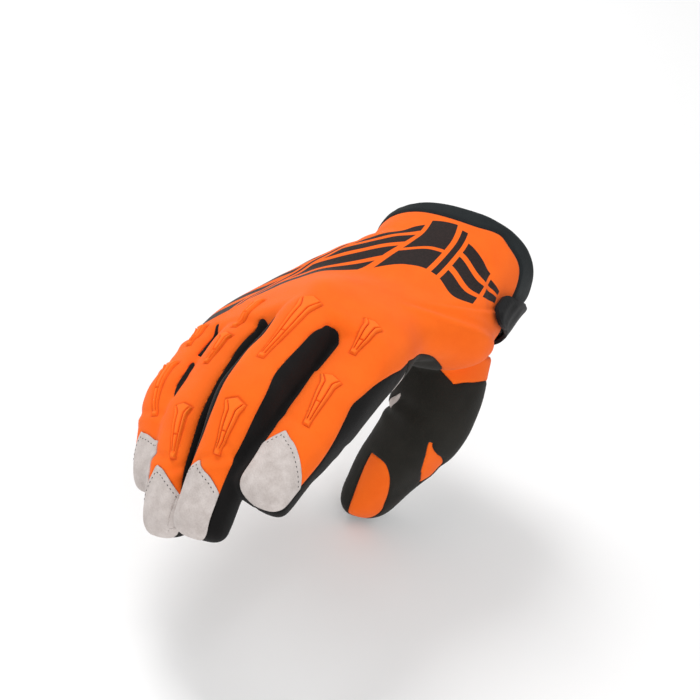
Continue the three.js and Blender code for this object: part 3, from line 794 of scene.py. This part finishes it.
dark_thread = thread("dark_thread", (0.05, 0.048, 0.046))
grey_suede = cloth(
    "grey_suede", (0.37, 0.315, 0.29), (0.74, 0.68, 0.655),
    grain=0.7, blotch=4.5, ribs=3.1, roughness=0.95, sheen=0.1, bump=0.8,
)
# a row of stitches stops this many degrees short of the cap's sides, as they are at this share of the finger
row_inset = 6
row_share = 0.8
for tube, name, *shape in cap_rows:
    # A cap lies over the cloth, so its edge stands out where the other panels' edges are tucked in.
    cap = sew(
        cut_out(cap_field(tube, *shape)), f"fingertip_{name}", grey_suede,
        lift=0.5, tuck=-0.35, rolled=1.0, thick=1.3,
    )
    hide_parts(f"fingertip_cap_{name}")
    left, right = (finger_side(tube, side, tube["end"] * row_share) for side in (0, 1))
    turn = np.linspace(row_inset - left, right - row_inset, 60)
    line = cap_start(tube, turn, *shape) + stitch_inset
    thread_row(f"fingertip_thread_{name}", row_on(cap, line, turn, tube), dark_thread)


# The thumb
# Black brushed neoprene wraps the thumb, with an orange patch over the tip and another over the joint, both
# let into the black. The black also runs up in a point beside the back of the hand.
# angle round the thumb, and the share of its length where the black starts
thumb_edges = [
    (-180, 0.4), (-116, 0.4), (-102, 0.35), (-90, 0.22), (-66, 0.09), (-52, 0.13), (-38, 0.16),
    (-27, 0.172), (-7, 0.15), (29, 0.125), (60, 0.14), (120, 0.2), (180, 0.34),
]
# share of the hand's length, and how many degrees the back of the hand reaches to its left and right
hand_edges = [
    (-0.1, 100, 100), (0.2, 100, 115), (0.4, 100, 150), (0.5, 100, 150), (0.57, 100, 136), (0.63, 99, 119),
    (0.69, 98, 110), (0.82, 98, 108), (0.92, 88, 100), (0.98, 80, 92), (1.1, 50, 40),
]
# angle, and the share of the thumb's length where the tip's patch starts, then the angle of its left side
tip_patch_edges = [
    (-100, 0.66), (-91, 0.635), (-75, 0.615), (-58, 0.615), (-36, 0.66),
    (-18, 0.735), (-5, 0.81), (8, 0.92), (20, 1.06),
]
tip_patch_side = [(0.6, -92), (0.79, -87), (0.9, -76), (1, -60)]
tip_patch_end = 0.985
# share of the thumb's length, and the angles of the left and right sides of the joint's patch
joint_patch_sides = [(0.41, -27, -20), (0.46, -17, 10), (0.5, -9, 26), (0.58, 3, 27), (0.64, 17, 20)]
# beyond this angle, and until this far from the tip, the underside is suede
thumb_under_angle = 138
under_inset = 7
gore_width = 34
gore_start = 57
gore_end = 102
gore_least_angle = 30


def tip_patch_field(points):
    s, angle, above, across = locate(thumb, points)
    return np.minimum.reduce([
        s - thumb_length * curve(tip_patch_edges, 1, angle),
        tip_patch_end * thumb_length - s,
        (angle - curve(tip_patch_side, 1, s / thumb_length)) * per_degree(across),
        panel_reach - above,
    ])


def joint_patch_field(points):
    s, angle, above, across = locate(thumb, points)
    return np.minimum.reduce([
        (angle - curve(joint_patch_sides, 1, s / thumb_length)) * per_degree(across),
        (curve(joint_patch_sides, 2, s / thumb_length) - angle) * per_degree(across),
        s - joint_patch_sides[0][0] * thumb_length,
        joint_patch_sides[-1][0] * thumb_length - s,
        panel_reach - above,
    ])


def thumb_field(points):
    """The thumb's own black, and the point that runs up beside the back of the hand."""
    s, angle, above, across = locate(thumb, points)
    start = thumb_length * curve(thumb_edges, 1, angle)
    under = np.minimum(
        (np.abs(angle) - thumb_under_angle) * per_degree(across), thumb_length - under_inset - s
    )
    cover = np.minimum.reduce([s - start, -under, panel_reach - above])
    s, angle, _, across = locate(hand, points)
    edge = curve(hand_edges, 2, s / hand_length)
    gore = np.minimum.reduce([
        (angle - edge) * per_degree(across),
        (edge + gore_width - angle) * per_degree(across),
        s - gore_start,
        gore_end - s,
        angle - gore_least_angle,
    ])
    return np.maximum(cover, gore)


def knit(name):
    """The orange stretch knit of the back and of the thumb's patches."""
    return cloth(
        name, (0.86, 0.11, 0.005), (1.0, 0.17, 0.012),
        grain=0.42, blotch=14, ribs=1.1, roughness=0.75, sheen=0.06, bump=0.45,
    )


orange_knit = knit("orange_knit")
black_neoprene = cloth(
    "black_neoprene", (0.008, 0.0075, 0.006), (0.024, 0.022, 0.018),
    grain=0.6, blotch=16, ribs=2.3, roughness=0.8, sheen=0.06, bump=0.35,
)


def patch(name, field):
    return sew(cut_out(field), name, orange_knit, lift=0.15, tuck=0.35, rolled=1.2, thick=1.2)


tip_patch = patch("thumb_tip", tip_patch_field)
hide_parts("thumb_tip_patch")
joint_patch = patch("thumb_joint", joint_patch_field)
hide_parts("thumb_knuckle_patch")
thumb_cover = sew(
    cut_out(thumb_field), "thumb_cover", black_neoprene,
    lift=0.25, tuck=0.1, rolled=1.2, thick=1.4,
)
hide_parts("thumb_shell")


# The back of the hand
# One piece of orange stretch knit runs from the cuff over the knuckles and down the fingers' backs, slotted
# between the fingers. Split ribs are moulded up out of it on the fingers, and black bars are printed on it.
# the two fingers, then a slot's width, how far back it starts, its shift to the side, and its length
slot_rows = [
    (index, middle, 9, -9, -3.4, 20),
    (middle, ring, 7, -3, -3, 26),
    (ring, little, 1.8, 2, -2, 20),
]
# finger, from and to along it, half width, and how far its two ends lie to the side
rib_rows = [
    (index, -4, 14, 5.2, -4.6, -3.4),
    (index, 29, 57, 5.4, -3.9, 0.5),
    (middle, -3, 39, 5.4, 0.8, -0.1),
    (middle, 56, 79, 5, 1.8, 1.2),
    (ring, -18, 0, 4.8, 2.6, 0.6),
    (ring, 4, 22, 4.2, 0.2, -0.7),
    (ring, 45, 68, 4.6, 2.5, 5),
    (little, -4, 12, 4.2, 0, 2),
    (little, 24, 52, 4.4, 0, 3.4),
]
rib_height = 1.15
rib_groove = 1.1
rib_groove_width = 0.36
rib_notch_place = 0.56
rib_notch_width = 0.4
rim_depth = 0.3
rim_width = 0.35
slot_depth = 12
back_end_inset = 1.8
crotch_angle = 74
crotch_end = 50


def slot_field(near, far, width, setback, shift, length):
    """A round-ended strip between two knuckles."""
    across = (near["root"] - far["root"]) * (1, 0, 1)
    across /= np.linalg.norm(across)
    base = (near["root"] + far["root"]) / 2 + across * shift
    base[1] = max(near["root"][1], far["root"][1]) + setback

    def field(points):
        away = points - base
        x = away @ across
        y = -away[:, 1]
        reach = np.maximum(width / 2 - y, 0)
        return np.minimum.reduce([width / 2 - np.hypot(x, reach), length - y, away[:, 2] + slot_depth])

    return field


def back_field(points):
    """The back of the hand, of each finger and of the thumb's root in one, less the slots."""
    s, angle, _, across = locate(hand, points)
    parts = [np.minimum.reduce([
        (angle + curve(hand_edges, 1, s / hand_length)) * per_degree(across),
        (curve(hand_edges, 2, s / hand_length) - angle) * per_degree(across),
        hand["end"] - back_end_inset - s,
    ])]
    for finger in fingers:
        s, _, above, inside = finger_strip(finger, points)
        parts.append(np.minimum.reduce([inside, s - finger_root, panel_reach - above]))
    s, angle, above, across = locate(thumb, points)
    parts.append(np.minimum.reduce([
        (thumb_under_angle - angle) * per_degree(across),
        (angle + crotch_angle) * per_degree(across),
        crotch_end - s,
        panel_reach - above,
    ]))
    field = np.maximum.reduce(parts)
    for row in slot_rows:
        field = np.minimum(field, -slot_field(*row)(points))
    return field


def rib_shape(s, x, start, end, half):
    """Distance inside a rib's outline, and how near a point is to its grooves, from 0 to 1."""
    t = np.clip((s - start) / (end - start), 0, 1)
    outline = half * (1 - 0.38 * smooth_step(t, 0, 0.24) - 0.36 * smooth_step(t, 0.18, 1))
    groove = half * (0.82 - 0.52 * smooth_step(t, 0, 0.19) - 0.18 * smooth_step(t, 0.19, 1))
    inside = np.minimum.reduce([outline - np.abs(x), s - start - 0.06 * half * np.abs(x), end - s])
    near = np.exp(-(((np.abs(x) - groove) / rib_groove_width) ** 2)) * smooth_step(s, start, start + 1.5)
    near *= 1 - smooth_step(s, end - 3, end - 1)
    notch = np.exp(-(((t - rib_notch_place) * (end - start) / rib_notch_width) ** 2)) * (np.abs(x) < groove)
    return inside, np.maximum(near, 0.8 * notch)


def rib_places(bm):
    """For each vertex, the deepest distance inside any rib, and the nearness to its grooves."""
    points = places_of(bm)
    inside = np.full(len(points), -9.0)
    near = np.zeros(len(points))
    for finger, start, end, half, start_side, end_side in rib_rows:
        s, _, above, across = locate(finger, points)
        side = start_side + (end_side - start_side) * (s - start) / (end - start)
        deep, groove = rib_shape(s, across[:, 0] - side, start, end, half)
        deep = np.where((above < 9) & (across[:, 1] > 0), deep, -9)
        near = np.where(deep > inside, groove, near)
        inside = np.maximum(inside, deep)
    return inside, near


back = cut_out(back_field)
drop_crumbs(back)
# The cloth is divided twice where the ribs are, the second time closer round them.
for margin in (1.6, 0.7):
    inside, _ = rib_places(back)
    back.verts.index_update()
    fine = [e for e in back.edges if min(inside[v.index] for v in e.verts) > -margin]
    bmesh.ops.subdivide_edges(back, edges=fine, cuts=1, use_grid_fill=True)
    bmesh.ops.triangulate(back, faces=[f for f in back.faces if len(f.verts) > 3])
inside, near = rib_places(back)
back.normal_update()
raised = smooth_step(inside, -0.1, 0.5)
pressed = np.exp(-(((inside + rim_width) / rim_width) ** 2))
for v, h in zip(back.verts, raised * (rib_height - rib_groove * near) - rim_depth * pressed):
    v.co += v.normal * h

# angle round the hand, and how far from the wrist the print's two edges are there
print_low = [(-100, 118), (-60, 108), (-30, 88), (-12, 66), (0, 50), (14, 49), (34, 56), (46, 52), (64, 42)]
print_high = [(-100, 60), (-60, 42), (-30, 21), (-23, 16), (-7, 12), (14, 13), (31, 17), (50, 22), (64, 26)]
print_end = 112
print_slant = 8
s, angle, _, _ = locate(hand, places_of(back))
low = curve(print_low, 1, angle)
high = curve(print_high, 1, angle)
rise = (low - s) / (low - high)
rise[s > print_end] = -1
# how deep the cloth is pressed in, or below 0 on a rib: it sets a painted shade in the grooves and pressed
# rims and a painted highlight on the ribs
shade_and_highlight_amount = 2 * near * raised + 0.7 * pressed - raised
print_place_and_painted_light = np.column_stack([angle + print_slant * rise, rise, shade_and_highlight_amount])


def printed_knit_with_painted_light():
    """The orange knit with plain black bars printed on it, with painted shade where pressed in and a painted
    highlight on a rib.
    """
    # a painted highlight for the tops of the ribs
    highlight_orange = (1.0, 0.26, 0.03, 1)
    # a painted shade for the grooves and the pressed rims round the ribs
    shade_orange = (0.5, 0.04, 0.003, 1)
    dark_ink = (0.006, 0.004, 0.004, 1)
    light_ink = (0.03, 0.017, 0.015, 1)
    made = knit("orange_knit_printed_painted_light")
    tree = made.node_tree
    shader = tree.nodes["Principled BSDF"]
    place = put(tree, "ShaderNodeAttribute", {"attribute_name": "print_place_and_painted_light"}).outputs["Vector"]
    parts = put(tree, "ShaderNodeSeparateXYZ", Vector=place).outputs

    def band(value, low, high):
        return reckon(tree, "COMPARE", value, (low + high) / 2, (high - low) / 2)

    # the angles that a block of bars spans, and the heights of its bars as shares of the print's height
    blocks = [
        ((-74, -46), [(0.02, 0.2), (0.3, 0.44), (0.54, 0.64), (0.72, 0.78)]),
        ((-43, -40), [(0.02, 0.86)]),
        ((-37, -10), [(0.02, 0.24), (0.33, 0.52), (0.6, 0.74), (0.81, 0.9)]),
        ((-7, 8), [(0.02, 0.4), (0.46, 0.96)]),
        ((11, 15), [(0.02, 0.9)]),
        ((18, 46), [(0.02, 0.22), (0.31, 0.5), (0.58, 0.76)]),
        ((49, 62), [(0.3, 0.5), (0.58, 0.7)]),
    ]
    mask = None
    for (low, high), bars in blocks:
        across_bars = None
        for bar in bars:
            one = band(parts[1], *bar)
            across_bars = one if across_bars is None else reckon(tree, "MAXIMUM", across_bars, one)
        block = reckon(tree, "MULTIPLY", band(parts[0], low, high), across_bars)
        mask = block if mask is None else reckon(tree, "MAXIMUM", mask, block)
    plain = shader.inputs["Base Color"].links[0].from_socket
    # painted highlight on the ribs
    with_rib_highlight = mixed(tree, reckon(tree, "MULTIPLY", parts[2], -0.3), plain, highlight_orange)
    # painted shade in the grooves and the pressed rims
    unprinted_with_painted_light = mixed(tree, reckon(tree, "MULTIPLY", parts[2], 0.75), with_rib_highlight, shade_orange)
    place = put(tree, "ShaderNodeTexCoord").outputs["Object"]
    scuff = put(tree, "ShaderNodeTexNoise", Scale=900.0, Detail=2.0, Vector=place)
    ink = mixed(tree, scuff.outputs[0], dark_ink, light_ink)
    colour = mixed(tree, mask, unprinted_with_painted_light, ink)
    roughness = reckon(tree, "MULTIPLY_ADD", mask, -0.2, 0.75)
    tree.links.new(colour, shader.inputs["Base Color"])
    tree.links.new(roughness, shader.inputs["Roughness"])
    return made


back_cloth = sew(
    back, "hand_back", printed_knit_with_painted_light(), lift=0.1, tuck=0.3, rolled=1.3, thick=1.2
)
# its third part sets where the knit gets painted shade and a painted highlight
attribute = back_cloth.data.attributes.new("print_place_and_painted_light", "FLOAT_VECTOR", "POINT")
attribute.data.foreach_set("vector", print_place_and_painted_light.astype(np.float32).ravel())
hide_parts("back_panel")


# The strips between and beside the fingers
# Black two-way stretch cloth, which forms the sides of the fingers and turns round their tips under the caps.
side_lap = 2
under_angle = 128
side_start = -18
side_slope = 0.42
side_slope_angle = 60


def side_field(tube, side, points):
    """One side of a finger, from under the edge of its back to the suede underneath."""
    s, angle, above, across = locate(tube, points)
    if side == "left":
        edge = (-angle - finger_side(tube, 0, s) + side_lap) * per_degree(across)
    else:
        edge = (angle - finger_side(tube, 1, s) + side_lap) * per_degree(across)
    under = np.minimum((np.abs(angle) - under_angle) * per_degree(across), tube["end"] - under_inset - s)
    start = side_start + side_slope * np.maximum(0, np.abs(angle) - side_slope_angle)
    return np.minimum.reduce([edge, s - start, -under, strip_reach - above])


black_stretch = cloth(
    "black_stretch", (0.0022, 0.002, 0.002), (0.010, 0.009, 0.009),
    grain=0.45, blotch=12, ribs=0.9, roughness=0.8, sheen=0.05, bump=0.5,
)


def strip(name, field):
    return sew(
        cut_out(field), name, black_stretch, lift=-0.1, tuck=0.3, rolled=1.2, thick=1.2
    )


index_strip = strip("strip_index", lambda points: side_field(index, "right", points))
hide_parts("side_strip_index")
little_strip = strip("strip_little", lambda points: side_field(little, "left", points))
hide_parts("side_strip_little")
gusset_names = ["gusset_index_middle", "gusset_middle_ring", "gusset_ring_little"]
for name, row in zip(gusset_names, slot_rows):
    made = strip(name.replace("gusset", "between"), lambda points: np.maximum.reduce([
        side_field(row[0], "left", points), side_field(row[1], "right", points), slot_field(*row)(points),
    ]))
    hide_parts(name)


# The palm
# Light grey synthetic suede, cut in one with the undersides of the fingers and the thumb.
palm = sew(body, "palm", grey_suede, lift=0.1, tuck=0.3, rolled=1.4, thick=1.2)
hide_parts("palm_panel")


# The wrist strap
# A moulded black strap goes round the underside of the wrist, from the little finger's side to a rounded tab
# with raised grip bars on the thumb side.
strap_width = 22
strap_thickness = 1.9
strap_rounding = 0.5
strap_setback = 5
strap_rise = 21
strap_rise_angles = (62, 112)
strap_standoff = 2.1
strap_climb = 2.5
tab_angle = 58
tab_round = 16
tab_power = 3.2
far_angle = 222
grip_angles = (66, 96)
grip_shares = (0.16, 0.84)
grip_height = 0.5
grip_turn = 0.55
grip_phase = 64


def grip(a, share):
    """Height of the grip bars at an angle round the wrist and a share of the strap's width."""
    if grip_angles[0] < a < grip_angles[1] and grip_shares[0] < share < grip_shares[1]:
        return grip_height * max(0, math.sin((a - grip_phase) * grip_turn))
    return 0


def outermost(start, direction):
    """Where a line from inside the glove last leaves its cloth."""
    steps = 3
    reach = 60
    last = None
    for _ in range(steps):
        found = skin_tree.ray_cast(start, direction, reach)[0]
        if found is None:
            break
        last = found
        start = found + direction * 0.5
    return last


bm = bmesh.new()
made = bmesh.ops.create_grid(bm, x_segments=110, y_segments=22, size=1)["verts"]
flat = np.array([v.co for v in made])
t = (flat[:, 1] + 1) / 2
first = tab_angle + tab_round * np.abs(2 * t - 1) ** tab_power
angle = first + (far_angle - first) * (flat[:, 0] + 1) / 2
s = strap_setback + strap_rise * (1 - smooth_step(angle, *strap_rise_angles)) + strap_width * t
for v, point, middle_point, a, share in zip(made, skin(hand, s, angle), frames_at(hand, s)[0], angle, t):
    centre = Vector(middle_point)
    away = Vector(point) - centre
    direction = away.normalized()
    hit = outermost(centre, direction)
    reach = away.length if hit is None else min((hit - centre).length, away.length + strap_climb)
    v.co = centre + direction * (reach + strap_standoff + grip(a, share))
relax(bm, [v for v in bm.verts if not v.is_boundary], 0.4, 4)
bmesh.ops.recalc_face_normals(bm, faces=bm.faces)
middle_face = bm.faces[:][len(bm.faces) // 2]
if middle_face.normal.z > 0:
    bmesh.ops.reverse_faces(bm, faces=bm.faces)
to_metres(bm)
strap = mesh_object("strap", bm)
strap_rubber = cloth(
    "strap_rubber", (0.004, 0.004, 0.0045), (0.013, 0.013, 0.014),
    grain=1.1, blotch=18, ribs=4.0, roughness=0.62, sheen=0.0, bump=0.25,
)
strap.data.materials.append(strap_rubber)
wall = strap.modifiers.new("strap_thickness", "SOLIDIFY")
wall.thickness = strap_thickness / per_metre
wall.offset = -1
rounded = strap.modifiers.new("rounded_edges", "BEVEL")
rounded.width = strap_rounding / per_metre
rounded.segments = 2
rounded.limit_method = "ANGLE"
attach(strap, "root")
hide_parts("wrist_strap")


# The studio
# A pale floor just under the fingertips, a key light above on the left, and a weaker, broader one in front on
# the right.
floor_size = 6
floor_gap = 0.001
low_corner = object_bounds()[0]
bm = bmesh.new()
bmesh.ops.create_grid(bm, x_segments=1, y_segments=1, size=floor_size)
bmesh.ops.translate(bm, vec=(0, 0, low_corner.z - floor_gap), verts=bm.verts)
floor = mesh_object("floor", bm)
paper = bpy.data.materials.new("paper")
paper.use_nodes = True
paper_shader = paper.node_tree.nodes["Principled BSDF"]
paper_shader.inputs["Base Color"].default_value = (0.96, 0.96, 0.96, 1)
paper_shader.inputs["Roughness"].default_value = 0.9
floor.data.materials.append(paper)
bpy.context.scene.view_settings.view_transform = "Standard"
world = bpy.data.worlds.new("studio")
world.use_nodes = True
sky = world.node_tree.nodes["Background"]
sky.inputs["Color"].default_value = (1, 1, 1, 1)
sky.inputs["Strength"].default_value = 0.68
bpy.context.scene.world = world
for name, place, power, size in (
    ("key", (-0.62, 0.1, 0.85), 6, 0.4),
    ("fill", (0.6, -0.9, 0.45), 3.5, 0.7),
):
    light_data = bpy.data.lights.new(name, "AREA")
    light_data.energy = power
    light_data.size = size
    light = bpy.data.objects.new(name, light_data)
    light.location = place
    light.rotation_euler = (view_target - Vector(place)).to_track_quat("-Z", "Y").to_euler()
    bpy.context.scene.collection.objects.link(light)
